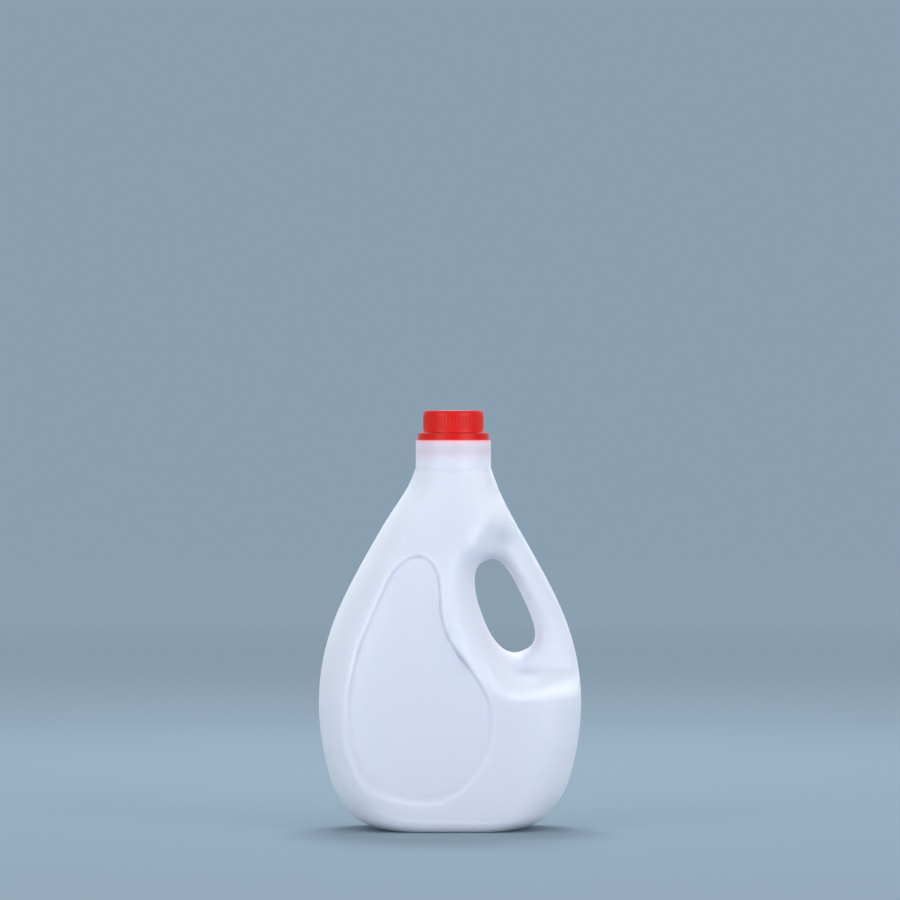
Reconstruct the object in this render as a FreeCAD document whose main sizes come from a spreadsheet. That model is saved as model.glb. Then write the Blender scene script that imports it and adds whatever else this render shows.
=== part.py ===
import FreeCAD, Part
import Sketcher
import math
import os

# A 3 litre jerrycan: one blow-moulded bottle with a hollow handle, a screw cap, the tamper
# band that stays on its neck, and the sealing liner in the cap.
# X runs across the bottle towards the handle, Y from front to back, Z up from the table.

Vector = FreeCAD.Vector
doc = FreeCAD.newDocument("jerrycan")
os.makedirs("parts", exist_ok=True)

# ---------------------------------------------------------------- driving dimensions

SIZES = [
    ("shoulder_height", 260.8, "table to the foot of the neck collar"),
    ("body_width", 188.0, "across the belly"),
    ("body_depth", 118.0, "front to back at the belly"),
    ("body_wall", 1.2, "blown wall"),
    ("base_edge", 10.0, "rounding of the front and back base edges"),
    ("base_trim", 0.8, "how much of that rounding the flat standing ring cuts away"),
    ("base_push", 3.0, "push-up in the middle of the base"),
    ("push_width", 96.0, "push-up across the base"),
    ("push_depth", 70.0, "push-up front to back"),
    ("hole_length", 69.7, "finger hole along the handle"),
    ("hole_width", 31.7, "finger hole across the handle"),
    ("hole_drop", 101.3, "foot of the collar to the middle of the finger hole"),
    ("handle_width", 22.2, "handle from the finger hole to the outside"),
    ("handle_depth", 37.0, "handle front to back, before its edges are rounded"),
    ("grip_lip", 24.0, "how far the body rounds off towards the finger hole"),
    ("shelf_width", 24.0, "soft step from the belly up to the handle's root"),
    ("shelf_drop", 31.0, "foot of that step below the finger hole"),
    ("side_width", 30.0, "soft step from the body to the handle, across"),
    ("side_shift", 3.4, "middle of that step, from the hole's middle towards the body"),
    ("root_width", 40.0, "soft step from the handle's upper root to the shoulder"),
    ("panel_depth", 0.8, "recess of the label panels"),
    ("neck_offset", 2.4, "neck axis towards the handle"),
    ("neck_blend", 50.0, "height over which the body leans to the neck axis"),
    ("neck_root", 7.5, "how far the turned neck reaches down into the blown body"),
    ("bore_radius", 15.9, "pouring mouth"),
    ("finish_wall", 2.0, "wall of the neck finish under the cap, without its thread"),
    ("bead_step", 0.7, "bead that holds the tamper band, out from the finish"),
    ("bead_height", 1.2, "bead, bottom to top"),
    ("thread_room", 1.8, "neck finish to cap skirt, for the thread"),
    ("cap_wall", 2.0, "cap skirt"),
    ("cap_height", 16.0, "cap skirt and roof"),
    ("cap_roof", 1.8, "cap roof"),
    ("cap_edge", 2.4, "rounding of the cap's top edge"),
    ("rib_count", 60.0, "grooves around the cap"),
    ("rib_depth", 0.35, "grooves around the cap"),
    ("rib_round", 0.9, "radius of a groove"),
    ("rib_margin", 2.2, "plain band above and below the grooves"),
    ("band_overhang", 3.9, "tamper band, out from the cap"),
    ("band_height", 5.0, "tamper band"),
    ("band_wall", 1.2, "tamper band"),
    ("band_edge", 0.8, "rounding of the tamper band's top edge"),
    ("collar_ledge", 1.3, "plain collar, out from the tamper band"),
    ("collar_height", 17.9, "plain collar"),
    ("collar_edge", 1.5, "rounding of the collar's top edge"),
    ("liner_thickness", 0.6, "foam liner"),
    ("seat_gap", 0.05, "liner to mouth, cap screwed down"),
    ("part_gap", 0.3, "cap to tamper band, and around the liner"),
]

sheet = doc.addObject("Spreadsheet::Sheet", "Sizes")
for row, (alias, number, note) in enumerate(SIZES, start=1):
    sheet.set("A%d" % row, note)
    sheet.set("B%d" % row, str(number))
    sheet.setAlias("B%d" % row, alias)
doc.recompute()


class Term:
    """A length that knows its number and the spreadsheet expression it comes from."""

    def __init__(self, number, text):
        self.number = number
        self.text = text

    def __add__(self, other):
        return Term(self.number + other.number, "(%s + %s)" % (self.text, other.text))

    def __sub__(self, other):
        return Term(self.number - other.number, "(%s - %s)" % (self.text, other.text))

    def times(self, factor):
        return Term(self.number * factor, "(%s * %r)" % (self.text, factor))


SIZE = {alias: Term(float(sheet.get(alias)), "Sizes." + alias) for alias, number, note in SIZES}
ZERO = Term(0.0, "0")


def size(alias):
    return SIZE[alias]


def mm(alias):
    return SIZE[alias].number


# Radii out from the pouring mouth, each worked out from what it fits.
finish_radius = size("bore_radius") + size("finish_wall")
bead_radius = finish_radius + size("bead_step")
cap_inside = finish_radius + size("thread_room")
cap_outside = cap_inside + size("cap_wall")
band_inside = bead_radius + size("part_gap")
band_outside = cap_outside + size("band_overhang")
collar_radius = band_outside + size("collar_ledge")

# Heights up the neck, each worked out from what carries it.
shoulder = size("shoulder_height")
collar_top = shoulder + size("collar_height")
band_top = collar_top + size("band_height")
cap_bottom = band_top + size("part_gap")
cap_top = cap_bottom + size("cap_height")
cap_ceiling = cap_top - size("cap_roof")
mouth = cap_ceiling - size("liner_thickness") - size("seat_gap")

# ---------------------------------------------------------------- blown skin

# Form of the body from its untrimmed base to the foot of the collar: height as a share,
# then width and depth as shares of the way from the collar's radius to the belly's half
# size, then how square the horizontal section is (2 is an ellipse).
FORM = [
    (0.000, 0.19, 0.78, 2.60),
    (0.008, 0.38, 0.80, 2.65),
    (0.027, 0.565, 0.83, 2.75),
    (0.060, 0.70, 0.87, 2.90),
    (0.109, 0.824, 0.92, 3.00),
    (0.186, 0.922, 0.97, 3.10),
    (0.345, 1.00, 1.00, 3.10),
    (0.475, 0.950, 0.98, 3.00),
    (0.606, 0.787, 0.90, 2.60),
    (0.736, 0.531, 0.69, 2.20),
    (0.882, 0.205, 0.34, 2.05),
    (0.943, 0.074, 0.15, 2.00),
    (0.982, 0.014, 0.03, 2.00),
    (1.000, -0.010, -0.05, 2.00),
]

# Finger hole: squareness of its rim, how far its ends bend towards the handle, and how
# much wider it is at the bottom than in the middle.
HOLE_SQUARENESS = 2.62
HOLE_BEND = 1.7
HOLE_TAPER = 0.10
BEND_LIMIT = 1.6
# Squareness of the body's lip around the hole and of the handle's edges.
LIP_SQUARENESS = 2.3
HANDLE_SQUARENESS = 2.0
# Lean of the step between body and handle.
SIDE_LEAN = 0.14
# The front and back bulge fuller below the collar and flatter on the belly, each over a
# height in millimetres, and the edge of the bulge is soft.
CROWN_GAIN = 0.22
CROWN_REACH = 40.0
FLAT_LOSS = 0.14
FLAT_START = 60.0
FLAT_REACH = 60.0
BULGE_SOFTNESS = 14
# The dome that ends the skin inside the collar.
DOME = 12.0
# The skin is drawn through rings of points around the wall, one ring for each direction
# out of the finger hole. The directions crowd towards the shelf under the handle, and the
# points of a ring towards the hole. Sweeps even out how deep neighbouring rings reach.
AROUND = 96
ACROSS = 48
CROWDING = 0.5
CROWDED_SIDE = math.radians(-50.0)
HOLE_CROWDING = 0.15
RIM_STEP = 2.0
RING_SWEEPS = 30
# The skin is split into patches, and its surface normal points this way.
PATCHES_AROUND = 6
PATCHES_ACROSS = 4
SKIN_SIDE = -1.0
# Halvings that find a point of the skin, and sweeps that find the poles of a curve.
HALVINGS = 34
POLE_SWEEPS = 40

form_line = Part.BSplineCurve()
form_line.interpolate(
    Points=[Vector(width, depth, square) for height, width, depth, square in FORM],
    Parameters=[math.sqrt(row[0]) for row in FORM],
)


def smooth(share):
    share = min(1.0, max(0.0, share))
    return share ** 3 * (share * (6.0 * share - 15.0) + 10.0)


def section(z):
    """Half width, half depth and squareness of the horizontal section at a height."""
    trim = mm("base_trim")
    share = min(1.0, max(0.0, (z + trim) / (mm("shoulder_height") + trim)))
    point = form_line.value(math.sqrt(share))
    collar = collar_radius.number
    half_width = collar + (mm("body_width") / 2.0 - collar) * point.x
    half_depth = collar + (mm("body_depth") / 2.0 - collar) * point.y
    return half_width, half_depth, point.z


class Hole:
    """The finger hole: a bent, tapering oval that follows the outside of the body."""

    def __init__(self):
        self.z = mm("shoulder_height") - mm("hole_drop")
        self.half_length = mm("hole_length") / 2.0
        self.half_width = mm("hole_width") / 2.0
        low = section(self.z - self.half_length)[0]
        high = section(self.z + self.half_length)[0]
        self.tilt = math.atan2(low - high, mm("hole_length"))
        reach = (mm("handle_width") + self.half_width) / math.cos(self.tilt)
        self.x = section(self.z)[0] - reach

    def local(self, x, z):
        """Place across and along the hole."""
        dx = x - self.x
        dz = z - self.z
        across = dx * math.cos(self.tilt) + dz * math.sin(self.tilt)
        along = dz * math.cos(self.tilt) - dx * math.sin(self.tilt)
        return across, along

    def distance(self, x, z):
        """Distance outside the rim, negative within the hole."""
        across, along = self.local(x, z)
        length_share = along / self.half_length
        bend_share = min(BEND_LIMIT, max(-BEND_LIMIT, length_share))
        half_width = self.half_width * (1.0 - HOLE_TAPER * bend_share)
        p = abs(across - HOLE_BEND * bend_share ** 2) / half_width
        q = abs(length_share)
        n = HOLE_SQUARENESS
        radius = (p ** n + q ** n) ** (1.0 / n)
        if radius < 1e-6:
            return -self.half_width
        slope = math.hypot(p ** (n - 1) / self.half_width, q ** (n - 1) / self.half_length)
        return (radius - 1.0) * radius ** (n - 1) / slope


hole = Hole()


def lip(distance, reach, squareness):
    """Share of the full depth that is reached at a distance from the rim."""
    share = 1.0 - min(reach, max(0.0, distance)) / reach
    return (1.0 - share ** squareness) ** (1.0 / squareness)


def handle_share(x, z):
    """1 on the handle, 0 on the body, with soft steps at the handle's two roots."""
    across = x - hole.x + mm("side_shift") + (z - hole.z) * SIDE_LEAN
    along = hole.local(x, z)[1]
    side = smooth(across / mm("side_width") + 0.5)
    shelf_foot = hole.z - hole.half_length - mm("shelf_drop")
    shelf = smooth((z - shelf_foot) / mm("shelf_width"))
    root = 1.0 - smooth((along - hole.half_length) / mm("root_width"))
    return side * shelf * root


def bulge(offset, squareness, z):
    """Share of the full depth at an offset from the middle, softly limited to 1."""
    drop = mm("shoulder_height") - z
    crown = 1.0 + CROWN_GAIN * smooth(drop / CROWN_REACH)
    crown -= FLAT_LOSS * smooth((drop - FLAT_START) / FLAT_REACH)
    share = crown * (1.0 - offset ** squareness) ** (1.0 / squareness)
    return share / (1.0 + share ** BULGE_SOFTNESS) ** (1.0 / BULGE_SOFTNESS)


def depth(x, z):
    """Half the body's depth at a place of the front view, 0 outside the outline."""
    half_width, half_depth, squareness = section(z)
    blend = mm("neck_blend")
    centre = mm("neck_offset") * smooth((z - mm("shoulder_height") + blend) / blend)
    offset = abs(x - centre) / half_width
    distance = hole.distance(x, z)
    if offset >= 1.0 or distance <= 0.0:
        return 0.0
    body = half_depth * lip(distance, mm("grip_lip"), LIP_SQUARENESS)
    handle = mm("handle_depth") / 2.0 * lip(distance, mm("handle_width") / 2.0, HANDLE_SQUARENESS)
    result = bulge(offset, squareness, z) * (body + (handle - body) * handle_share(x, z))
    edge = mm("base_edge")
    rise = edge - mm("base_trim") - z
    if rise > 0.0:
        result -= edge - math.sqrt(max(0.0, edge ** 2 - rise ** 2))
    return result


def inside(x, y, z):
    top = mm("shoulder_height")
    if z < -mm("base_trim") or z > top + DOME:
        return False
    if z > top:
        shrink = math.sqrt(1.0 - ((z - top) / DOME) ** 2)
        half_width, half_depth, squareness = section(top)
        return math.hypot((x - mm("neck_offset")) / half_width, y / half_depth) < shrink
    return abs(y) < depth(x, z)


def farthest(test, reach):
    """The largest share of reach for which the test holds, by halving."""
    low = 0.0
    high = reach
    for step in range(HALVINGS):
        middle = 0.5 * (low + high)
        if test(middle):
            low = middle
        else:
            high = middle
    return low


class Spoke:
    """A direction out of the hole's middle, with the wall that it meets beyond the rim."""

    def __init__(self, index):
        angle = 2.0 * math.pi * index / AROUND
        angle -= CROWDING * math.sin(angle - CROWDED_SIDE)
        self.cosine = math.cos(angle)
        self.sine = math.sin(angle)
        self.rim = farthest(self.in_hole, mm("hole_length"))
        self.start = self.rim + RIM_STEP
        outline = self.start + farthest(self.in_wall, mm("shoulder_height"))
        self.middle = 0.5 * (self.rim + outline)
        self.half_length = 0.5 * (outline - self.rim)
        self.half_depth = depth(*self.place(self.middle))

    def place(self, radius):
        return hole.x + radius * self.cosine, hole.z + radius * self.sine

    def in_hole(self, radius):
        return hole.distance(*self.place(radius)) < 0.0

    def in_wall(self, radius):
        x, z = self.place(self.start + radius)
        return inside(x, 0.0, z)

    def point(self, side):
        """The skin's point at an angle around the wall, 0 at the outline."""
        out = self.half_length * math.cos(side)
        across = self.half_depth * math.sin(side)

        def within(share):
            radius = self.middle + share * out
            x, z = self.place(radius)
            return radius > self.rim and inside(x, share * across, z)

        share = farthest(within, 2.0)
        x, z = self.place(self.middle + share * out)
        return Vector(x, share * across, z)


def skin_points():
    """Rings of points around the wall, one ring for each spoke."""
    spokes = [Spoke(index) for index in range(AROUND)]
    for sweep in range(RING_SWEEPS):
        depths = [spoke.half_depth for spoke in spokes]
        for index, spoke in enumerate(spokes):
            sides = depths[index - 1] + depths[(index + 1) % AROUND]
            spoke.half_depth = 0.5 * depths[index] + 0.25 * sides
    turns = [2.0 * math.pi * turn / ACROSS for turn in range(ACROSS)]
    sides = [turn + HOLE_CROWDING * math.sin(turn) for turn in turns]
    return [[spoke.point(side) for side in sides] for spoke in spokes]


def closed_poles(points):
    """Poles of the closed, evenly spaced cubic spline through the points."""
    count = len(points)
    poles = list(points)
    for sweep in range(POLE_SWEEPS):
        for index in range(count):
            sides = poles[index - 1] + poles[(index + 1) % count]
            poles[index] = (points[index] * 6.0 - sides) * 0.25
    return poles


def skin_surface(rings):
    rows = [closed_poles(ring) for ring in rings]
    columns = [closed_poles([row[index] for row in rows]) for index in range(ACROSS)]
    poles = [[column[index] for column in columns] for index in range(AROUND)]
    surface = Part.BSplineSurface()
    surface.buildFromPolesMultsKnots(
        poles,
        [1] * (AROUND + 1),
        [1] * (ACROSS + 1),
        [float(index) for index in range(AROUND + 1)],
        [float(index) for index in range(ACROSS + 1)],
        True,
        True,
        3,
        3,
    )
    return surface


def inset(rings, thickness):
    """The same rings, moved inwards along the skin's normal."""
    surface = skin_surface(rings)
    moved = []
    for index, ring in enumerate(rings):
        row = []
        for turn, point in enumerate(ring):
            normal = surface.normal((index - 1) % AROUND, (turn - 1) % ACROSS)
            row.append(point - normal * (SKIN_SIDE * thickness))
        moved.append(row)
    return moved


def skin_solid(rings):
    """A closed solid of patches cut from one surface, so that they meet smoothly."""
    surface = skin_surface(rings)
    step_around = AROUND // PATCHES_AROUND
    step_across = ACROSS // PATCHES_ACROSS
    faces = []
    for index in range(PATCHES_AROUND):
        for turn in range(PATCHES_ACROSS):
            patch = surface.copy()
            patch.segment(
                index * step_around,
                (index + 1) * step_around,
                turn * step_across,
                (turn + 1) * step_across,
            )
            faces.append(patch.toShape())
    shell = Part.Shell(faces)
    shell.sewShape()
    return Part.Solid(shell)


def feature(name, shape):
    result = doc.addObject("Part::Feature", name)
    result.Shape = shape
    return result


def boolean(kind, name, base, tool):
    result = doc.addObject(kind, name)
    result.Base = base
    result.Tool = tool
    return result


# ---------------------------------------------------------------- profiles and bodies


def origin_plane(body, role):
    return next(item for item in body.Origin.OriginFeatures if item.Role == role)


def new_body(name):
    body = doc.addObject("PartDesign::Body", name)
    body.setExpression("Placement.Base.x", size("neck_offset").text)
    return body


def profile(body, name, corners):
    """A closed outline on the XZ plane, each corner held by the two sizes it is made of."""
    sketch = body.newObject("Sketcher::SketchObject", name)
    sketch.AttachmentSupport = (origin_plane(body, "XZ_Plane"), [""])
    sketch.MapMode = "FlatFace"
    points = [Vector(across.number, up.number, 0.0) for across, up in corners]
    for index, point in enumerate(points):
        sketch.addGeometry(Part.LineSegment(point, points[(index + 1) % len(points)]), False)
    for index in range(len(points)):
        following = (index + 1) % len(points)
        sketch.addConstraint(Sketcher.Constraint("Coincident", index, 2, following, 1))
    for index, (across, up) in enumerate(corners):
        for kind, term in (("DistanceX", across), ("DistanceY", up)):
            if term is ZERO:
                held = Sketcher.Constraint("PointOnObject", index, 1, -2)
                sketch.addConstraint(held)
                continue
            place = sketch.addConstraint(
                Sketcher.Constraint(kind, -1, 1, index, 1, term.number)
            )
            sketch.setExpression("Constraints[%d]" % place, term.text)
    return sketch


def revolve(body, name, corners):
    sketch = profile(body, name + "_profile", corners)
    turned = body.newObject("PartDesign::Revolution", name)
    turned.Profile = sketch
    turned.ReferenceAxis = (sketch, ["V_Axis"])
    turned.Angle = 360.0
    doc.recompute()
    return turned


def rim_edges(shape, radius, height):
    """Names of the circular edges of a radius at a height."""
    names = []
    for index, edge in enumerate(shape.Edges, start=1):
        if edge.Curve.TypeId != "Part::GeomCircle":
            continue
        same_radius = abs(edge.Curve.Radius - radius.number) < 1e-6
        same_height = abs(edge.Curve.Center.z - height.number) < 1e-6
        if same_radius and same_height:
            names.append("Edge%d" % index)
    return names


def round_rim(body, name, base, radius, height, rounding):
    fillet = body.newObject("PartDesign::Fillet", name)
    fillet.Base = (base, rim_edges(base.Shape, radius, height))
    fillet.setExpression("Radius", size(rounding).text)
    doc.recompute()
    return fillet


# ---------------------------------------------------------------- bottle

# Label panel, the same on the front and the back: across as a share of the body's half
# width, up as a share of the shoulder height.
PANEL = [
    (-0.213, 0.755),
    (-0.389, 0.731),
    (-0.541, 0.638),
    (-0.708, 0.485),
    (-0.780, 0.326),
    (-0.750, 0.211),
    (-0.590, 0.123),
    (-0.332, 0.088),
    (-0.086, 0.088),
    (0.150, 0.146),
    (0.305, 0.238),
    (0.305, 0.345),
    (0.193, 0.433),
    (0.011, 0.525),
    (-0.059, 0.613),
    (-0.086, 0.709),
]


def panel_prism(name, widening):
    half_width = mm("body_width") / 2.0
    corners = [Vector(across * half_width, 0.0, up * mm("shoulder_height")) for across, up in PANEL]
    widened = []
    for index, corner in enumerate(corners):
        along = corners[(index + 1) % len(corners)] - corners[index - 1]
        outwards = Vector(0.0, 1.0, 0.0).cross(along).normalize()
        widened.append(corner - outwards * widening)
    outline = Part.BSplineCurve()
    outline.interpolate(Points=widened, PeriodicFlag=True)
    wire = Part.Wire([outline.toShape()])
    base = feature(name + "_outline", wire)
    prism = doc.addObject("Part::Extrusion", name)
    prism.Base = base
    prism.DirMode = "Custom"
    prism.Dir = Vector(0.0, 1.0, 0.0)
    prism.Symmetric = True
    prism.Solid = True
    prism.setExpression("LengthFwd", size("body_depth").times(1.2).text)
    return prism


def recessed(name, rings, widening):
    """A skin whose two label panels are set in by the panel depth."""
    whole = feature(name + "_skin", skin_solid(rings))
    low = feature(name + "_low_skin", skin_solid(inset(rings, mm("panel_depth"))))
    prism = panel_prism(name + "_panel", widening)
    cutter = boolean("Part::Cut", name + "_panel_cut", prism, low)
    return boolean("Part::Cut", name, whole, cutter)


def with_base(name, skin, floor):
    """The skin cut flat at a height, with the push-up raised by the same height."""
    table = doc.addObject("Part::Box", name + "_table")
    table.setExpression("Length", size("body_width").times(1.2).text)
    table.setExpression("Width", size("body_depth").times(1.2).text)
    table.setExpression("Height", size("base_edge").text)
    table.setExpression("Placement.Base.x", size("body_width").times(-0.6).text)
    table.setExpression("Placement.Base.y", size("body_depth").times(-0.6).text)
    table.setExpression("Placement.Base.z", (floor - size("base_edge")).text)

    # The cap of a flat ellipsoid whose middle lies three push-ups below the table, so that
    # the table cuts it at root 7 quarters of its half width.
    spread = 2.0 / math.sqrt(7.0)
    push = doc.addObject("Part::Ellipsoid", name + "_push_up")
    push.setExpression("Radius1", (size("base_push").times(4.0) + floor).text)
    push.setExpression("Radius2", (size("push_width").times(spread) + floor).text)
    push.setExpression("Radius3", (size("push_depth").times(spread) + floor).text)
    push.setExpression("Placement.Base.z", size("base_push").times(-3.0).text)

    under = boolean("Part::Fuse", name + "_underside", table, push)
    return boolean("Part::Cut", name, skin, under)


def build_bottle():
    rings = skin_points()
    outer_skin = recessed("outer_skin", rings, 0.0)
    outer = with_base("blown_outside", outer_skin, ZERO)
    inner_skin = recessed("inner_skin", inset(rings, mm("body_wall")), mm("body_wall"))
    inner = with_base("blown_inside", inner_skin, size("body_wall"))

    neck = new_body("neck")
    neck_foot = shoulder - size("neck_root")
    bead_foot = collar_top + size("band_height").times(0.5)
    bead_top = bead_foot + size("bead_height")
    turned = revolve(neck, "neck_turned", [
        (ZERO, neck_foot),
        (collar_radius, neck_foot),
        (collar_radius, collar_top),
        (finish_radius, collar_top),
        (finish_radius, bead_foot),
        (bead_radius, bead_foot),
        (bead_radius, bead_top),
        (finish_radius, bead_top),
        (finish_radius, mouth),
        (ZERO, mouth),
    ])
    round_rim(neck, "collar_rounding", turned, collar_radius, collar_top, "collar_edge")

    bore = new_body("neck_bore")
    bore_foot = neck_foot - size("body_wall")
    bore_top = mouth + size("liner_thickness")
    collar_inside = collar_radius - size("body_wall")
    collar_ceiling = collar_top - size("body_wall")
    revolve(bore, "bore_turned", [
        (ZERO, bore_foot),
        (collar_inside, bore_foot),
        (collar_inside, collar_ceiling),
        (size("bore_radius"), collar_ceiling),
        (size("bore_radius"), bore_top),
        (ZERO, bore_top),
    ])

    outside = boolean("Part::Fuse", "bottle_outside", outer, neck)
    doc.recompute()
    # The cavity's skin touches the outside nowhere, so it is set in as a closed void, which
    # the bore then opens.
    void = inner.Shape.Shells[0].reversed()
    walls = Part.makeCompound([outside.Shape.Shells[0], void])
    hollow = feature("bottle_shell", Part.Solid(walls))
    return boolean("Part::Cut", "bottle", hollow, bore)


# ---------------------------------------------------------------- cap, band and liner

def build_cap():
    cap = new_body("cap")
    turned = revolve(cap, "cap_turned", [
        (ZERO, cap_ceiling),
        (cap_inside, cap_ceiling),
        (cap_inside, cap_bottom),
        (cap_outside, cap_bottom),
        (cap_outside, cap_top),
        (ZERO, cap_top),
    ])
    round_rim(cap, "cap_rounding", turned, cap_outside, cap_top, "cap_edge")

    groove = cap.newObject("Sketcher::SketchObject", "groove_profile")
    groove.AttachmentSupport = (origin_plane(cap, "XY_Plane"), [""])
    groove.MapMode = "FlatFace"
    foot = cap_bottom + size("rib_margin")
    groove.setExpression("AttachmentOffset.Base.z", foot.text)
    centre = cap_outside + size("rib_round") - size("rib_depth")
    middle = Vector(centre.number, 0.0, 0.0)
    groove.addGeometry(Part.Circle(middle, Vector(0.0, 0.0, 1.0), mm("rib_round")), False)
    groove.addConstraint(Sketcher.Constraint("PointOnObject", 0, 3, -1))
    round_off = groove.addConstraint(Sketcher.Constraint("Radius", 0, mm("rib_round")))
    groove.setExpression("Constraints[%d]" % round_off, size("rib_round").text)
    across = groove.addConstraint(Sketcher.Constraint("DistanceX", -1, 1, 0, 3, centre.number))
    groove.setExpression("Constraints[%d]" % across, centre.text)

    pocket = cap.newObject("PartDesign::Pocket", "groove_cut")
    pocket.Profile = groove
    pocket.Reversed = True
    length = size("cap_height") - size("rib_margin").times(2.0) - size("cap_edge")
    pocket.setExpression("Length", length.text)
    doc.recompute()

    pattern = cap.newObject("PartDesign::PolarPattern", "grooves")
    pattern.Originals = [pocket]
    pattern.Axis = (groove, ["N_Axis"])
    pattern.Angle = 360.0
    pattern.setExpression("Occurrences", size("rib_count").text)
    cap.Tip = pattern
    return cap


def build_band():
    band = new_body("tamper_band")
    wall = size("band_wall")
    turned = revolve(band, "band_turned", [
        (band_inside, collar_top),
        (band_inside + wall, collar_top),
        (band_inside + wall, band_top - wall),
        (band_outside - wall, band_top - wall),
        (band_outside - wall, collar_top),
        (band_outside, collar_top),
        (band_outside, band_top),
        (band_inside, band_top),
    ])
    round_rim(band, "band_rounding", turned, band_outside, band_top, "band_edge")
    return band


def build_liner():
    liner = new_body("liner")
    edge = cap_inside - size("part_gap")
    low = cap_ceiling - size("liner_thickness")
    revolve(liner, "liner_turned", [
        (ZERO, low),
        (edge, low),
        (edge, cap_ceiling),
        (ZERO, cap_ceiling),
    ])
    return liner


pieces = [build_bottle(), build_cap(), build_band(), build_liner()]
doc.recompute()

for item in doc.Objects:
    faults = [state for state in item.State if state in ("Invalid", "Error")]
    if faults:
        raise RuntimeError("%s did not build" % item.Name)

for piece in pieces:
    shape = piece.Shape
    if shape.isNull() or not shape.isValid() or len(shape.Solids) != 1:
        raise RuntimeError("%s is not one sound solid" % piece.Label)
    shape.exportStep("parts/%s.step" % piece.Label)
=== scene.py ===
import math
import bmesh
import bpy
import numpy as np
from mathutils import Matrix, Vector


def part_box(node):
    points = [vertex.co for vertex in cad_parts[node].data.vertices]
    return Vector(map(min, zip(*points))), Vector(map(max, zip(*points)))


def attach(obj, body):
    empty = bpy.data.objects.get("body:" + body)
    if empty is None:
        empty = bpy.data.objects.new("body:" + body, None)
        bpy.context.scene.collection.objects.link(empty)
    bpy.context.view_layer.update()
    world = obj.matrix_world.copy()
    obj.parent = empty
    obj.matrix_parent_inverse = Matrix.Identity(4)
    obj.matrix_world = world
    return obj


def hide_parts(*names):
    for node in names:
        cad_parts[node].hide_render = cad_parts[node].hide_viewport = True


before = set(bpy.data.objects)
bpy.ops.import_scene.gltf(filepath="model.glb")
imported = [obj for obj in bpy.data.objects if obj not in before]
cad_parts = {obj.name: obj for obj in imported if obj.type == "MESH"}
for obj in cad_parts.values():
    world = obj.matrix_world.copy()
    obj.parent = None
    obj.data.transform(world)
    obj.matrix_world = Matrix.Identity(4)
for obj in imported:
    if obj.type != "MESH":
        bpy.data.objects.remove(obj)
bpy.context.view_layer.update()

# ---------------------------------------------------------------- sizes, in millimetres

MM = 0.001


def node_box(node):
    """Lowest and highest corner of a CAD node, in millimetres."""
    low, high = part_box(node)
    return np.array(low) / MM, np.array(high) / MM


bottle_low, bottle_high = node_box("bottle")
cap_low, cap_high = node_box("cap")
band_low, band_high = node_box("tamper_band")

NECK_X = 0.5 * (cap_low[0] + cap_high[0])
BELLY_HALF_WIDTH = 0.5 * (bottle_high[0] - bottle_low[0])
BELLY_HALF_DEPTH = 59.0
MOUTH = bottle_high[2]
COLLAR_TOP = band_low[2]
COLLAR_HEIGHT = 17.9
SHOULDER = COLLAR_TOP - COLLAR_HEIGHT
COLLAR_LEDGE = 1.3
COLLAR_RADIUS = 0.5 * (band_high[0] - band_low[0]) + COLLAR_LEDGE
COLLAR_EDGE = 1.5
NECK_ROOT = 7.5
BORE_RADIUS = 15.9
FINISH_RADIUS = 17.9
BEAD_RADIUS = 18.6
BEAD_HEIGHT = 1.2
THREAD_PITCH = 4.2
CAP_INSIDE = 19.7
WALL = 1.2
BASE_EDGE = 10.0
BASE_TRIM = 0.8
BASE_PUSH = 3.0
PUSH_WIDTH = 96.0
PUSH_DEPTH = 70.0
HOLE_DROP = 101.3
HOLE_HALF_LENGTH = 34.85
HOLE_HALF_WIDTH = 15.85
HANDLE_WIDTH = 22.2
HANDLE_HALF_DEPTH = 18.5
GRIP_LIP = 24.0
SHELF_WIDTH = 24.0
SHELF_DROP = 31.0
SIDE_WIDTH = 30.0
SIDE_SHIFT = 3.4
ROOT_WIDTH = 40.0
NECK_BLEND = 50.0
PANEL_DEPTH = 0.8
DOME = 12.0

# ---------------------------------------------------------------- form of the body


def spline(knots, values, places):
    """Natural cubic spline through the values, at the places."""
    knots = np.asarray(knots, float)
    values = np.asarray(values, float)
    steps = np.diff(knots)
    count = len(knots)
    matrix = np.eye(count)
    right = np.zeros(count)
    for row in range(1, count - 1):
        matrix[row, row - 1] = steps[row - 1]
        matrix[row, row] = 2.0 * (steps[row - 1] + steps[row])
        matrix[row, row + 1] = steps[row]
        slope_after = (values[row + 1] - values[row]) / steps[row]
        slope_before = (values[row] - values[row - 1]) / steps[row - 1]
        right[row] = 6.0 * (slope_after - slope_before)
    bend = np.linalg.solve(matrix, right)
    index = np.clip(np.searchsorted(knots, places) - 1, 0, count - 2)
    step = steps[index]
    ahead = (knots[index + 1] - places) / step
    behind = (places - knots[index]) / step
    curve = ahead * values[index] + behind * values[index + 1]
    bent = (ahead ** 3 - ahead) * bend[index] + (behind ** 3 - behind) * bend[index + 1]
    curve += bent * step ** 2 / 6.0
    return curve


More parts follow.
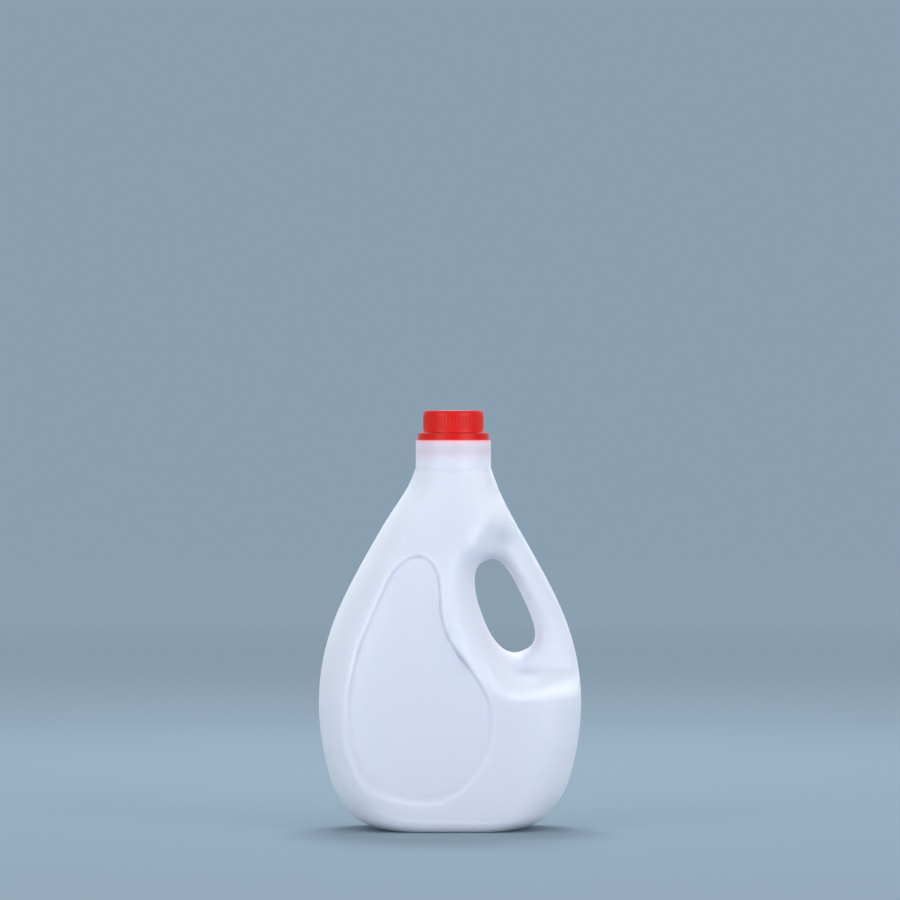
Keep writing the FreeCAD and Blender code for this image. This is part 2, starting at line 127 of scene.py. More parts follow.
# Height as a share from the untrimmed base to the shoulder, then width and depth as shares
# of the way from the collar's radius to the belly's half size, then the squareness of the
# horizontal section.
FORM = np.array([
    (0.000, 0.19, 0.78, 2.60),
    (0.008, 0.38, 0.80, 2.65),
    (0.027, 0.565, 0.83, 2.75),
    (0.060, 0.70, 0.87, 2.90),
    (0.109, 0.824, 0.92, 3.00),
    (0.186, 0.922, 0.97, 3.10),
    (0.345, 1.00, 1.00, 3.10),
    (0.475, 0.950, 0.98, 3.00),
    (0.606, 0.787, 0.90, 2.60),
    (0.736, 0.531, 0.69, 2.20),
    (0.882, 0.205, 0.34, 2.05),
    (0.943, 0.074, 0.15, 2.00),
    (0.982, 0.014, 0.03, 2.00),
    (1.000, -0.010, -0.05, 2.00),
])
FORM_KNOTS = np.sqrt(FORM[:, 0])
HOLE_SQUARENESS = 2.62
HOLE_BEND = 1.7
HOLE_TAPER = 0.10
BEND_LIMIT = 1.6
LIP_SQUARENESS = 2.3
HANDLE_SQUARENESS = 2.0
SIDE_LEAN = 0.14
CROWN_GAIN = 0.22
CROWN_REACH = 40.0
FLAT_LOSS = 0.14
FLAT_START = 60.0
FLAT_REACH = 60.0
BULGE_SOFTNESS = 14.0
# How the directions out of the finger hole crowd towards the shelf under the handle, and
# the points of a ring towards the hole.
CROWDING = 0.5
CROWDED_SIDE = math.radians(-50.0)
HOLE_CROWDING = 0.15
RIM_STEP = 2.0
RING_SWEEPS = 400


def smooth(share):
    share = np.clip(share, 0.0, 1.0)
    return share ** 3 * (share * (6.0 * share - 15.0) + 10.0)


def section(z):
    """Half width, half depth and squareness of the horizontal section at a height."""
    share = (np.asarray(z, float) + BASE_TRIM) / (SHOULDER + BASE_TRIM)
    share = np.sqrt(np.clip(share, 0.0, 1.0))
    wide, deep, square = (spline(FORM_KNOTS, FORM[:, column], share) for column in (1, 2, 3))
    half_width = COLLAR_RADIUS + (BELLY_HALF_WIDTH - COLLAR_RADIUS) * wide
    half_depth = COLLAR_RADIUS + (BELLY_HALF_DEPTH - COLLAR_RADIUS) * deep
    return half_width, half_depth, square


HOLE_Z = SHOULDER - HOLE_DROP
HOLE_TILT = math.atan2(
    float(section(HOLE_Z - HOLE_HALF_LENGTH)[0] - section(HOLE_Z + HOLE_HALF_LENGTH)[0]),
    2.0 * HOLE_HALF_LENGTH,
)
HOLE_X = float(section(HOLE_Z)[0]) - (HANDLE_WIDTH + HOLE_HALF_WIDTH) / math.cos(HOLE_TILT)


def along_hole(x, z):
    return (z - HOLE_Z) * math.cos(HOLE_TILT) - (x - HOLE_X) * math.sin(HOLE_TILT)


def rim_distance(x, z):
    """Distance outside the finger hole's rim, negative within it."""
    across = (x - HOLE_X) * math.cos(HOLE_TILT) + (z - HOLE_Z) * math.sin(HOLE_TILT)
    length_share = along_hole(x, z) / HOLE_HALF_LENGTH
    bend_share = np.clip(length_share, -BEND_LIMIT, BEND_LIMIT)
    half_width = HOLE_HALF_WIDTH * (1.0 - HOLE_TAPER * bend_share)
    p = np.abs(across - HOLE_BEND * bend_share ** 2) / half_width
    q = np.abs(length_share)
    n = HOLE_SQUARENESS
    radius = np.maximum((p ** n + q ** n) ** (1.0 / n), 1e-6)
    slope = np.hypot(p ** (n - 1) / HOLE_HALF_WIDTH, q ** (n - 1) / HOLE_HALF_LENGTH)
    return (radius - 1.0) * radius ** (n - 1) / np.maximum(slope, 1e-9)


def lip(distance, reach, squareness):
    """Share of the full depth that is reached at a distance from the rim."""
    share = 1.0 - np.clip(distance, 0.0, reach) / reach
    return (1.0 - share ** squareness) ** (1.0 / squareness)


def handle_share(x, z):
    """1 on the handle, 0 on the body, with soft steps at the handle's two roots."""
    across = x - HOLE_X + SIDE_SHIFT + (z - HOLE_Z) * SIDE_LEAN
    side = smooth(across / SIDE_WIDTH + 0.5)
    shelf_foot = HOLE_Z - HOLE_HALF_LENGTH - SHELF_DROP
    shelf = smooth((z - shelf_foot) / SHELF_WIDTH)
    root = 1.0 - smooth((along_hole(x, z) - HOLE_HALF_LENGTH) / ROOT_WIDTH)
    return side * shelf * root


def bulge(offset, squareness, z):
    """Share of the full depth at an offset from the middle, softly limited to 1."""
    drop = SHOULDER - z
    crown = 1.0 + CROWN_GAIN * smooth(drop / CROWN_REACH)
    crown = crown - FLAT_LOSS * smooth((drop - FLAT_START) / FLAT_REACH)
    share = crown * np.maximum(1.0 - offset ** squareness, 0.0) ** (1.0 / squareness)
    return share / (1.0 + share ** BULGE_SOFTNESS) ** (1.0 / BULGE_SOFTNESS)


def half_depth_at(x, z):
    """Half the body's depth at a place of the front view, 0 outside the outline."""
    half_width, half_depth, squareness = section(z)
    centre = NECK_X * smooth((z - SHOULDER + NECK_BLEND) / NECK_BLEND)
    offset = np.abs(x - centre) / half_width
    distance = rim_distance(x, z)
    body = half_depth * lip(distance, GRIP_LIP, LIP_SQUARENESS)
    handle = HANDLE_HALF_DEPTH * lip(distance, HANDLE_WIDTH / 2.0, HANDLE_SQUARENESS)
    depth = bulge(offset, squareness, z) * (body + (handle - body) * handle_share(x, z))
    rise = np.clip(BASE_EDGE - BASE_TRIM - z, 0.0, BASE_EDGE)
    depth = depth - BASE_EDGE + np.sqrt(BASE_EDGE ** 2 - rise ** 2)
    return np.where((offset < 1.0) & (distance > 0.0), depth, 0.0)


def inside(x, y, z):
    shrink = np.sqrt(np.clip(1.0 - ((z - SHOULDER) / DOME) ** 2, 0.0, 1.0))
    top_width, top_depth, squareness = section(SHOULDER)
    in_dome = np.hypot((x - NECK_X) / top_width, y / top_depth) < shrink
    in_body = np.abs(y) < half_depth_at(x, np.minimum(z, SHOULDER))
    return np.where(z > SHOULDER, in_dome & (z < SHOULDER + DOME), in_body & (z >= -BASE_TRIM))


def farthest(test, low, high):
    """The largest value for which the test holds, by halving, for a whole array at once."""
    for step in range(34):
        middle = 0.5 * (low + high)
        held = test(middle)
        low = np.where(held, middle, low)
        high = np.where(held, high, middle)
    return low


def skin(around, sides):
    """Rings of points round the solid: one ring for each direction out of the finger hole."""
    turn = 2.0 * math.pi * np.arange(around) / around
    turn = turn - CROWDING * np.sin(turn - CROWDED_SIDE)
    cosine = np.cos(turn)
    sine = np.sin(turn)
    zero = np.zeros(around)
    rim = farthest(
        lambda r: rim_distance(HOLE_X + r * cosine, HOLE_Z + r * sine) < 0.0,
        zero,
        zero + 2.0 * HOLE_HALF_LENGTH,
    )
    start = rim + RIM_STEP
    edge = farthest(
        lambda r: inside(HOLE_X + r * cosine, zero, HOLE_Z + r * sine), start, start + SHOULDER
    )
    middle = 0.5 * (rim + edge)
    half_length = 0.5 * (edge - rim)
    half_depth = half_depth_at(HOLE_X + middle * cosine, HOLE_Z + middle * sine)
    for sweep in range(RING_SWEEPS):
        half_depth = 0.5 * half_depth + 0.25 * (np.roll(half_depth, 1) + np.roll(half_depth, -1))
    out = half_length[:, None] * np.cos(sides)[None, :]
    across = half_depth[:, None] * np.sin(sides)[None, :]
    cosine = cosine[:, None]
    sine = sine[:, None]
    middle = middle[:, None]
    rim = rim[:, None]

    def place(share):
        radius = middle + share * out
        return HOLE_X + radius * cosine, share * across, HOLE_Z + radius * sine

    share = farthest(
        lambda s: (middle + s * out > rim) & inside(*place(s)),
        np.zeros_like(out),
        np.full_like(out, 2.0),
    )
    return np.stack(place(share), axis=-1)


def normals(points):
    """Outward normals of a closed grid of points."""
    along = np.roll(points, -1, axis=0) - np.roll(points, 1, axis=0)
    across = np.roll(points, -1, axis=1) - np.roll(points, 1, axis=1)
    cross = np.cross(across, along)
    return cross / np.linalg.norm(cross, axis=-1, keepdims=True)


def stand_flat(points, raised):
    """The underside lifted to the flat standing ring and its push-up."""
    spread = 2.0 / math.sqrt(7.0)
    across = points[..., 0] / (spread * PUSH_WIDTH)
    through = points[..., 1] / (spread * PUSH_DEPTH)
    reach = across ** 2 + through ** 2
    push_up = BASE_PUSH * (4.0 * np.sqrt(np.clip(1.0 - reach, 0.0, 1.0)) - 3.0)
    points = points.copy()
    points[..., 2] = np.maximum(points[..., 2], np.maximum(push_up, 0.0) + raised)
    return points


# ---------------------------------------------------------------- label panel

# The panel's corners in the front view, as shares of the belly's half width and of the
# shoulder's height.
PANEL = np.array([
    (-0.213, 0.755),
    (-0.389, 0.731),
    (-0.541, 0.638),
    (-0.708, 0.485),
    (-0.780, 0.326),
    (-0.750, 0.211),
    (-0.590, 0.123),
    (-0.332, 0.088),
    (-0.086, 0.088),
    (0.150, 0.146),
    (0.305, 0.238),
    (0.305, 0.345),
    (0.193, 0.433),
    (0.011, 0.525),
    (-0.059, 0.613),
    (-0.086, 0.709),
]) * np.array([BELLY_HALF_WIDTH, SHOULDER])
PANEL_STEP = 2.8
# The step is crisp above the first height and softens down to the second one, where it
# is this many times as wide.
PANEL_CRISP = 125.0
PANEL_SOFT = 55.0
PANEL_SPREAD = 3.0
# A fine groove along the foot of the panel's crisp step, and how far from the outline
# the mesh is finer.
GROOVE_DEPTH = 0.12
GROOVE_PLACE = 1.5
GROOVE_REACH = 1.4
PANEL_BAND = 4.0


def panel_outline(count):
    """Closed smooth outline through the panel's corners."""
    wrapped = np.concatenate([PANEL[-4:], PANEL, PANEL[:5]])
    lengths = np.sqrt(np.linalg.norm(np.diff(wrapped, axis=0), axis=1))
    knots = np.concatenate([[0.0], np.cumsum(lengths)])
    places = np.linspace(knots[4], knots[4 + len(PANEL)], count, endpoint=False)
    return np.stack([spline(knots, wrapped[:, axis], places) for axis in (0, 1)], axis=-1)


def panel_distance(x, z):
    """Distance inside the panel's outline in the front view, negative outside."""
    outline = panel_outline(240)
    after = np.roll(outline, -1, axis=0)
    nearest = np.full(x.shape, 1e9)
    within = np.zeros(x.shape, bool)
    for (ax, az), (bx, bz) in zip(outline, after):
        run = (bx - ax) ** 2 + (bz - az) ** 2
        share = np.clip(((x - ax) * (bx - ax) + (z - az) * (bz - az)) / run, 0.0, 1.0)
        off_x = x - ax - share * (bx - ax)
        off_z = z - az - share * (bz - az)
        nearest = np.minimum(nearest, np.hypot(off_x, off_z))
        crosses = ((az > z) != (bz > z)) & (x < ax + (z - az) * (bx - ax) / (bz - az + 1e-12))
        within ^= crosses
    return np.where(within, nearest, -nearest)


def panel_crispness(points):
    return smooth((points[..., 2] - PANEL_SOFT) / (PANEL_CRISP - PANEL_SOFT))


def panel_recess(points):
    distance = panel_distance(points[..., 0], points[..., 2])
    step = PANEL_STEP * (PANEL_SPREAD + (1.0 - PANEL_SPREAD) * panel_crispness(points))
    return PANEL_DEPTH * smooth(distance / step + 0.5)


def groove(points):
    distance = panel_distance(points[..., 0], points[..., 2])
    across = smooth(1.0 - np.abs(distance - GROOVE_PLACE) / GROOVE_REACH)
    return GROOVE_DEPTH * across * panel_crispness(points)


def press_panel(piece, raised):
    """Sinks the label panels into the body, with a finer mesh along their outline."""
    shape = bmesh.new()
    shape.from_mesh(piece.data)
    shape.faces.ensure_lookup_table()
    middles = np.array([face.calc_center_median() for face in shape.faces]) / MM
    close = np.abs(panel_distance(middles[:, 0], middles[:, 2])) < PANEL_BAND
    edges = {edge for index in np.flatnonzero(close) for edge in shape.faces[index].edges}
    bmesh.ops.subdivide_edges(shape, edges=list(edges), cuts=2, use_grid_fill=True)
    shape.normal_update()
    points = np.array([vertex.co for vertex in shape.verts]) / MM
    outwards = np.array([vertex.normal for vertex in shape.verts])
    banded = np.abs(panel_distance(points[:, 0], points[:, 2])) < PANEL_BAND + 2.0
    start = points[banded] - outwards[banded]
    along = outwards[banded]

    def reached(way):
        place = start + way[:, None] * along
        return inside(place[:, 0], place[:, 1], place[:, 2])

    way = farthest(reached, np.zeros(len(start)), np.full(len(start), 2.0))
    points[banded] = start + (way - raised)[:, None] * along
    points -= outwards * (panel_recess(points) + groove(points))[:, None]
    for vertex, point in zip(shape.verts, points * MM):
        vertex.co = point
    shape.to_mesh(piece.data)
    shape.free()


# ---------------------------------------------------------------- mesh helpers


def mesh_object(name, vertices, faces):
    mesh = bpy.data.meshes.new(name)
    mesh.from_pydata((np.asarray(vertices).reshape(-1, 3) * MM).tolist(), [], faces)
    mesh.update()
    result = bpy.data.objects.new(name, mesh)
    bpy.context.scene.collection.objects.link(result)
    return result


def closed_grid(name, points):
    """A closed surface from rings of points."""
    rings, sides = points.shape[:2]
    here = np.arange(rings * sides).reshape(rings, sides)
    after = np.roll(here, -1, axis=0)
    faces = np.stack([here, np.roll(here, -1, axis=1), np.roll(after, -1, axis=1), after], axis=-1)
    return mesh_object(name, points, faces.reshape(-1, 4).tolist())


def turned(name, outline, segments):
    """A closed outline of (radius, height) turned about the neck's axis."""
    outline = np.array(outline)
    angles = 2.0 * math.pi * np.arange(segments) / segments
    radius = outline[None, :, 0]
    x = NECK_X + radius * np.cos(angles)[:, None]
    y = radius * np.sin(angles)[:, None]
    z = np.broadcast_to(outline[None, :, 1], x.shape)
    result = closed_grid(name, np.stack([x, y, z], axis=-1))
    weld(result)
    return result


def weld(piece):
    """Joins coincident points, such as those on an axis, and turns all faces outwards."""
    shape = bmesh.new()
    shape.from_mesh(piece.data)
    bmesh.ops.remove_doubles(shape, verts=shape.verts, dist=1e-7)
    bmesh.ops.recalc_face_normals(shape, faces=shape.faces)
    shape.to_mesh(piece.data)
    shape.free()


def apply_boolean(piece, tool, operation):
    modifier = piece.modifiers.new(operation, "BOOLEAN")
    modifier.operation = operation
    modifier.object = tool
    modifier.solver = "MANIFOLD"
    apply_modifiers(piece)
    bpy.data.objects.remove(tool)


def apply_modifiers(piece):
    settled = piece.evaluated_get(bpy.context.evaluated_depsgraph_get())
    mesh = bpy.data.meshes.new_from_object(settled)
    piece.modifiers.clear()
    piece.data = mesh


def smooth_faces(piece, sharp_degrees):
    """Smooth shading that keeps edges sharper than an angle."""
    mesh = piece.data
    mesh.shade_smooth()
    shape = bmesh.new()
    shape.from_mesh(mesh)
    limit = math.radians(sharp_degrees)
    for edge in shape.edges:
        edge.smooth = len(edge.link_faces) != 2 or edge.calc_face_angle(0.0) < limit
    shape.to_mesh(mesh)
    shape.free()


def arc(centre, radius, start, end, count):
    """Points (radius, height) on a round corner of an outline, angles in degrees."""
    angles = np.radians(np.linspace(start, end, count))
    return [(centre[0] + radius * math.cos(a), centre[1] + radius * math.sin(a)) for a in angles]


# ---------------------------------------------------------------- bottle

# The line where the two halves of the mould met: how far it stands out, and its width as
# an angle round a ring.
LINE_HEIGHT = 0.12
LINE_FLAT = 0.004
LINE_EDGE = 0.012
# How many rings, and points in a ring, the outer and the inner skin have.
OUTER_RINGS = 352
OUTER_SIDES = 168
INNER_RINGS = 150
INNER_SIDES = 96
NECK_SEGMENTS = 160
ROOM_SEGMENTS = 128
MOUTH_EDGE = 0.5
ROOM_EDGE = 2.0
ROOM_LIP = 1.0
SHARP_ANGLE = 34.0
# Screw threads: steps in a turn, half width, height at the two ends, and the part of a
# turn in which they rise to their full height; then each one's root, height, start and
# turns.
THREAD_STEPS = 72
THREAD_HALF_WIDTH = 0.34 * THREAD_PITCH
THREAD_END_HEIGHT = 0.3
THREAD_RUN_OUT = 0.25
NECK_THREAD = {"root": FINISH_RADIUS - 0.4, "height": 1.5, "start": 286.2, "turns": 2.0}
CAP_THREAD = {"root": CAP_INSIDE + 0.2, "height": 1.4, "start": 287.9, "turns": 1.4}


def ring_sides(count):
    """Angles round a ring, with extra ones at the parting line on both sides."""
    spread = np.linspace(0.0, 2.0 * math.pi, count, endpoint=False)
    spread = spread + HOLE_CROWDING * np.sin(spread)
    extra = np.array([0.5 * LINE_FLAT, LINE_FLAT, 0.5 * (LINE_FLAT + LINE_EDGE), LINE_EDGE])
    seams = np.concatenate([extra, -extra, math.pi + extra, math.pi - extra])
    return np.unique(np.round(np.mod(np.concatenate([spread, seams]), 2.0 * math.pi), 6))


def parting_line(sides):
    """A fine ridge where the two halves of the mould met."""
    from_seam = np.abs(np.mod(sides + 0.5 * math.pi, math.pi) - 0.5 * math.pi)
    return LINE_HEIGHT * (1.0 - smooth((from_seam - LINE_FLAT) / (LINE_EDGE - LINE_FLAT)))


def thread(name, root, height, start, turns, outwards=1.0):
    """A tapering screw thread: a triangle with a blunt tip, run along a helix."""
    count = int(turns * THREAD_STEPS)
    share = np.linspace(0.0, 1.0, count + 1)
    angle = 2.0 * math.pi * turns * share
    swell = smooth(share * turns / THREAD_RUN_OUT)
    swell = swell * smooth((1.0 - share) * turns / THREAD_RUN_OUT)
    half = THREAD_HALF_WIDTH
    profile = [(0.0, -half), (0.85, -0.35 * half), (1.0, 0.0), (0.85, 0.35 * half), (0.0, half)]
    rings = []
    for out, up in profile:
        stands = THREAD_END_HEIGHT * (out > 0.0) + (height - THREAD_END_HEIGHT) * out * swell
        radius = root + outwards * stands
        z = start + THREAD_PITCH * turns * share + up * (0.25 + 0.75 * swell)
        x = NECK_X + radius * np.cos(angle)
        rings.append(np.stack([x, radius * np.sin(angle), z], axis=-1))
    rings = np.stack(rings, axis=1)
    width = rings.shape[1]
    faces = []
    for step in range(count):
        for corner in range(width):
            following = (corner + 1) % width
            here = step * width
            ahead = here + width
            faces.append((here + corner, here + following, ahead + following, ahead + corner))
    faces.append(tuple(range(width)))
    faces.append(tuple(count * width + corner for corner in reversed(range(width))))
    result = mesh_object(name, rings, faces)
    weld(result)
    return result


def build_bottle():
    sides = ring_sides(OUTER_SIDES)
    outer = skin(OUTER_RINGS, sides)
    sunk = LINE_HEIGHT - parting_line(sides)
    outer = outer - normals(outer) * sunk[None, :, None]
    bottle = closed_grid("bottle_moulding", stand_flat(outer, 0.0))
    weld(bottle)
    press_panel(bottle, LINE_HEIGHT)

    inner_sides = np.linspace(0.0, 2.0 * math.pi, INNER_SIDES, endpoint=False)
    inner = skin(INNER_RINGS, inner_sides)
    inner = inner - normals(inner) * (WALL + panel_recess(inner))[..., None]
    hollow = closed_grid("hollow", stand_flat(inner, WALL))
    weld(hollow)

    foot = SHOULDER - NECK_ROOT
    edge = COLLAR_EDGE
    bead_foot = 0.5 * (band_low[2] + band_high[2])
    neck = [(0.0, foot), (COLLAR_RADIUS, foot)]
    neck += arc((COLLAR_RADIUS - edge, COLLAR_TOP - edge), edge, 0, 90, 8)
    neck += [(FINISH_RADIUS, COLLAR_TOP), (FINISH_RADIUS, bead_foot)]
    neck += [(BEAD_RADIUS, bead_foot), (BEAD_RADIUS, bead_foot + 0.5 * BEAD_HEIGHT)]
    neck += [(FINISH_RADIUS, bead_foot + BEAD_HEIGHT)]
    neck += arc((FINISH_RADIUS - MOUTH_EDGE, MOUTH - MOUTH_EDGE), MOUTH_EDGE, 0, 90, 5)
    neck += [(0.0, MOUTH)]
    apply_boolean(bottle, turned("neck", neck, NECK_SEGMENTS), "UNION")
    apply_boolean(bottle, thread("neck_thread", **NECK_THREAD), "UNION")

    ceiling = COLLAR_TOP - WALL
    side = COLLAR_RADIUS - WALL
    room = [(0.0, foot - WALL), (side, foot - WALL)]
    room += [(side, ceiling - ROOM_EDGE), (side - ROOM_EDGE, ceiling)]
    room += [(BORE_RADIUS + ROOM_LIP, ceiling), (BORE_RADIUS, ceiling + ROOM_LIP)]
    room += [(BORE_RADIUS, MOUTH + ROOM_EDGE), (0.0, MOUTH + ROOM_EDGE)]
    apply_boolean(hollow, turned("room", room, ROOM_SEGMENTS), "UNION")
    apply_boolean(bottle, hollow, "DIFFERENCE")
    smooth_faces(bottle, SHARP_ANGLE)
    return bottle


# ---------------------------------------------------------------- materials

# Milky high-density polyethylene: its two plain colours, painted shade in the dish round the
# finger hole, and painted reflections of the red cap's light, on the collar and right under
# the band.
MILKY_DARK = (0.90, 0.955, 0.99)
MILKY_LIGHT = (0.925, 0.972, 0.995)
MILKY_HOLE_SHADE = (0.77, 0.745, 0.80)
MILKY_COLLAR_REFLECTION = (0.78, 0.60, 0.655)
MILKY_BAND_REFLECTION = (0.76, 0.20, 0.24)
RED_DARK = (0.56, 0.006, 0.0025)
RED_LIGHT = (0.61, 0.008, 0.0035)
FOAM_DARK = (0.74, 0.74, 0.72)
FOAM_LIGHT = (0.84, 0.84, 0.82)
# How far the painted shade round the hole reaches from its middle, which lies a little towards the
# shelf: full up to the first distance, gone at the second.
HOLE_SHADE_MIDDLE = (HOLE_X - 6.0, 0.0, HOLE_Z - 8.0)
HOLE_SHADE_REACH = (38.0, 76.0)
# The heights between which each painted reflection of the red cap on the neck comes in, and the
# finish turns plain.
COLLAR_REFLECTION_HEIGHTS = (SHOULDER - 1.5, SHOULDER + 9.0)
BAND_REFLECTION_HEIGHTS = (COLLAR_TOP - 2.5, COLLAR_TOP + 0.5)
FINISH_PLAIN = (COLLAR_TOP + 0.4, COLLAR_TOP + 1.2)
# How far light goes into the milky plastic, in metres, times its share for each colour.
MILKY_SCATTER = 0.008
MILKY_SCATTER_SHARES = (0.8, 0.8, 0.6)


def new_material(name):
    material = bpy.data.materials.new(name)
    material.use_nodes = True
    nodes = material.node_tree.nodes
    shader = next(node for node in nodes if node.type == "BSDF_PRINCIPLED")
    return material, nodes, material.node_tree.links, shader


def noise(nodes, links, scale, detail, roughness=0.5):
    place = nodes.new("ShaderNodeTexCoord")
    texture = nodes.new("ShaderNodeTexNoise")
    texture.inputs["Scale"].default_value = scale
    texture.inputs["Detail"].default_value = detail
    texture.inputs["Roughness"].default_value = roughness
    links.new(place.outputs["Object"], texture.inputs["Vector"])
    return texture.outputs["Fac"]


def ramp(nodes, links, source, low, high, from_low=0.35, from_high=0.65):
    node = nodes.new("ShaderNodeMapRange")
    node.inputs["From Min"].default_value = from_low
    node.inputs["From Max"].default_value = from_high
    node.inputs["To Min"].default_value = low
    node.inputs["To Max"].default_value = high
    links.new(source, node.inputs["Value"])
    return node.outputs["Result"]


def mixed_colour(nodes, links, factor, first, second):
    mix = nodes.new("ShaderNodeMix")
    mix.data_type = "RGBA"
    links.new(factor, mix.inputs["Factor"])
    mix.inputs["A"].default_value = (*first, 1.0)
    mix.inputs["B"].default_value = (*second, 1.0)
    return mix.outputs["Result"]


def bump(nodes, links, source, strength, distance):
    node = nodes.new("ShaderNodeBump")
    node.inputs["Strength"].default_value = strength
    node.inputs["Distance"].default_value = distance
    links.new(source, node.inputs["Height"])
    return node


def near(nodes, links, centre, reach):
    """1 within the first reach of a place of the part, falling off to 0 at the second."""
    place = nodes.new("ShaderNodeTexCoord")
    distance = nodes.new("ShaderNodeVectorMath")
    distance.operation = "DISTANCE"
    distance.inputs[1].default_value = [value * MM for value in centre]
    links.new(place.outputs["Object"], distance.inputs[0])
    return ramp(nodes, links, distance.outputs["Value"], 1.0, 0.0, reach[0] * MM, reach[1] * MM)


def above(nodes, links, low, high):
    """0 up to one height of the part, rising to 1 at another."""
    place = nodes.new("ShaderNodeTexCoord")
    split = nodes.new("ShaderNodeSeparateXYZ")
    links.new(place.outputs["Object"], split.inputs["Vector"])
    return ramp(nodes, links, split.outputs["Z"], 0.0, 1.0, low * MM, high * MM)


def tinted(nodes, links, factor, first, second):
    """Turns from a colour that comes out of another node to a plain one."""
    mix = nodes.new("ShaderNodeMix")
    mix.data_type = "RGBA"
    links.new(factor, mix.inputs["Factor"])
    links.new(first, mix.inputs["A"])
    mix.inputs["B"].default_value = (*second, 1.0)
    return mix.outputs["Result"]


def milky_plastic():
    material, nodes, links, shader = new_material("milky_plastic")
    clouds = noise(nodes, links, 9.0, 3.0)
    colour = mixed_colour(
        nodes, links, ramp(nodes, links, clouds, 0.0, 1.0), MILKY_DARK, MILKY_LIGHT
    )
    # painted shade in the dish round the finger hole
    hole_shade = near(nodes, links, HOLE_SHADE_MIDDLE, HOLE_SHADE_REACH)
    colour = tinted(nodes, links, hole_shade, colour, MILKY_HOLE_SHADE)
    # painted reflection of the red cap's light on the collar
    collar = above(nodes, links, *COLLAR_REFLECTION_HEIGHTS)
    colour = tinted(nodes, links, collar, colour, MILKY_COLLAR_REFLECTION)
    # painted red glow reflected from the band, right under it
    band_reflection = above(nodes, links, *BAND_REFLECTION_HEIGHTS)
    colour = tinted(nodes, links, band_reflection, colour, MILKY_BAND_REFLECTION)
    finish = above(nodes, links, *FINISH_PLAIN)
    colour = tinted(nodes, links, finish, colour, MILKY_LIGHT)
    links.new(colour, shader.inputs["Base Color"])
    grain = noise(nodes, links, 260.0, 1.0)
    links.new(ramp(nodes, links, grain, 0.42, 0.50), shader.inputs["Roughness"])
    shader.inputs["Specular IOR Level"].default_value = 0.35
    shader.inputs["Subsurface Weight"].default_value = 1.0
    shader.inputs["Subsurface Radius"].default_value = MILKY_SCATTER_SHARES
    shader.inputs["Subsurface Scale"].default_value = MILKY_SCATTER
    fine = bump(nodes, links, grain, 0.05, 0.0003)
    wavy = bump(nodes, links, noise(nodes, links, 26.0, 2.0), 0.10, 0.002)
    links.new(wavy.outputs["Normal"], fine.inputs["Normal"])
    links.new(fine.outputs["Normal"], shader.inputs["Normal"])
    return material


def red_plastic():
    material, nodes, links, shader = new_material("red_plastic")
    clouds = noise(nodes, links, 60.0, 3.0)
    colour = mixed_colour(
        nodes, links, ramp(nodes, links, clouds, 0.0, 1.0), RED_DARK, RED_LIGHT
    )
    links.new(colour, shader.inputs["Base Color"])
    grain = noise(nodes, links, 900.0, 3.0)
    links.new(ramp(nodes, links, grain, 0.30, 0.42), shader.inputs["Roughness"])
    shader.inputs["Specular IOR Level"].default_value = 0.16
    fine = bump(nodes, links, grain, 0.15, 0.0002)
    links.new(fine.outputs["Normal"], shader.inputs["Normal"])
    return material


def liner_foam():
    material, nodes, links, shader = new_material("liner_foam")
    cells = noise(nodes, links, 1500.0, 2.0)
    colour = mixed_colour(
        nodes, links, ramp(nodes, links, cells, 0.0, 1.0), FOAM_DARK, FOAM_LIGHT
    )
    links.new(colour, shader.inputs["Base Color"])
    shader.inputs["Roughness"].default_value = 0.8
    fine = bump(nodes, links, cells, 0.3, 0.0003)
    links.new(fine.outputs["Normal"], shader.inputs["Normal"])
    return material


def dress(piece, material):
    piece.data.materials.clear()
    piece.data.materials.append(material)


milky = milky_plastic()
red = red_plastic()
foam = liner_foam()

bottle = build_bottle()
dress(bottle, milky)
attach(bottle, "bottle_body")
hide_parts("bottle")

cap_thread = thread("cap_thread", **CAP_THREAD, outwards=-1.0)
smooth_faces(cap_thread, SHARP_ANGLE)
dress(cap_thread, red)
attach(cap_thread, "cap_body")

for node, material in (("cap", red), ("tamper_band", red), ("liner", foam)):
    dress(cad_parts[node], material)

# ---------------------------------------------------------------- stage, light and camera

# The grey-blue floor near the object, and far from it painted lighter to make up for the lamp
# light that falls off there, and the tone of the backdrop above its edge.
FLOOR_NEAR = (0.198, 0.260, 0.316)
FLOOR_FAR_PAINTED_LIGHT = (0.295, 0.382, 0.462)
FLOOR_LIGHT_REACH = (1600.0, 4800.0)
FLOOR_HALF = 9000.0
BACKDROP = (0.255, 0.350, 0.437)
WORLD_COLOUR = (0.885, 0.945, 0.985)
WORLD_STRENGTH = 0.90
LAMP_COLOUR = (0.885, 0.94, 0.98)
LAMP_TARGET = (0.0, 0.0, 0.15)
# Each lamp's place in metres, size and power.
LAMPS = {
    "left": ((-2.2, -2.4, 0.55), (2.2, 1.6), 60.0),
    "right": ((2.2, -2.4, 0.55), (2.2, 1.6), 76.0),
    "top": ((0.0, 1.2, 2.1), (1.0, 0.6), 38.0),
}
# In metres: how far the camera stands in front, how high, and how wide a frame it takes in
# at the object.
CAMERA_DISTANCE = 4.0
CAMERA_HEIGHT = 0.2715
FRAME_WIDTH = 0.6455


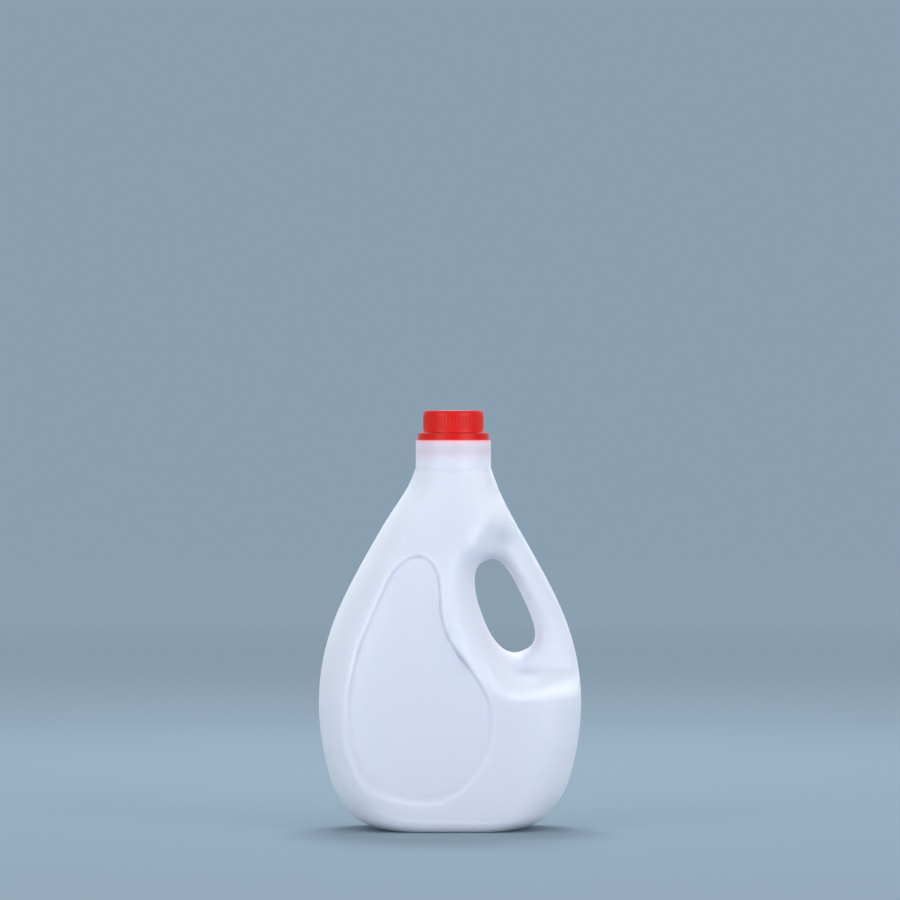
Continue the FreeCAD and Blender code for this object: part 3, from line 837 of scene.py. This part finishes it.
def floor_material():
    material, nodes, links, shader = new_material("studio_grey_blue")
    # the floor is painted lighter far from the object, where the lamps light it less
    near_object = near(nodes, links, (0.0, 0.0, 0.0), FLOOR_LIGHT_REACH)
    colour = mixed_colour(nodes, links, near_object, FLOOR_FAR_PAINTED_LIGHT, FLOOR_NEAR)
    links.new(colour, shader.inputs["Base Color"])
    shader.inputs["Roughness"].default_value = 0.9
    shader.inputs["Specular IOR Level"].default_value = 0.1
    return material


def build_floor():
    half = FLOOR_HALF
    corners = [(-half, -half, 0.0), (half, -half, 0.0), (half, half, 0.0), (-half, half, 0.0)]
    floor = mesh_object("studio_floor", corners, [(0, 1, 2, 3)])
    dress(floor, floor_material())


def area_light(name, place, size, power):
    data = bpy.data.lights.new(name, "AREA")
    data.shape = "RECTANGLE"
    data.size, data.size_y = size
    data.energy = power
    data.color = LAMP_COLOUR
    lamp = bpy.data.objects.new(name, data)
    bpy.context.scene.collection.objects.link(lamp)
    lamp.location = place
    direction = Vector(LAMP_TARGET) - Vector(place)
    lamp.rotation_euler = direction.to_track_quat("-Z", "Y").to_euler()


def build_light():
    world = bpy.data.worlds.new("studio")
    bpy.context.scene.world = world
    world.use_nodes = True
    nodes, links = world.node_tree.nodes, world.node_tree.links
    light = nodes["Background"]
    light.inputs["Color"].default_value = (*WORLD_COLOUR, 1.0)
    light.inputs["Strength"].default_value = WORLD_STRENGTH
    backdrop = nodes.new("ShaderNodeBackground")
    backdrop.inputs["Color"].default_value = (*BACKDROP, 1.0)
    seen = nodes.new("ShaderNodeLightPath")
    either = nodes.new("ShaderNodeMixShader")
    links.new(seen.outputs["Is Camera Ray"], either.inputs["Fac"])
    links.new(light.outputs["Background"], either.inputs[1])
    links.new(backdrop.outputs["Background"], either.inputs[2])
    links.new(either.outputs["Shader"], nodes["World Output"].inputs["Surface"])
    for name, (place, size, power) in LAMPS.items():
        area_light(name, place, size, power)


def build_camera():
    data = bpy.data.cameras.new("camera")
    camera = bpy.data.objects.new("camera", data)
    bpy.context.scene.collection.objects.link(camera)
    data.sensor_width = 36.0
    data.lens = data.sensor_width * CAMERA_DISTANCE / FRAME_WIDTH
    data.clip_end = 50.0
    camera.location = (0.0, -CAMERA_DISTANCE, CAMERA_HEIGHT)
    camera.rotation_euler = (math.radians(90.0), 0.0, 0.0)
    bpy.context.scene.camera = camera


build_floor()
build_light()
build_camera()
bpy.context.scene.view_settings.view_transform = "Standard"
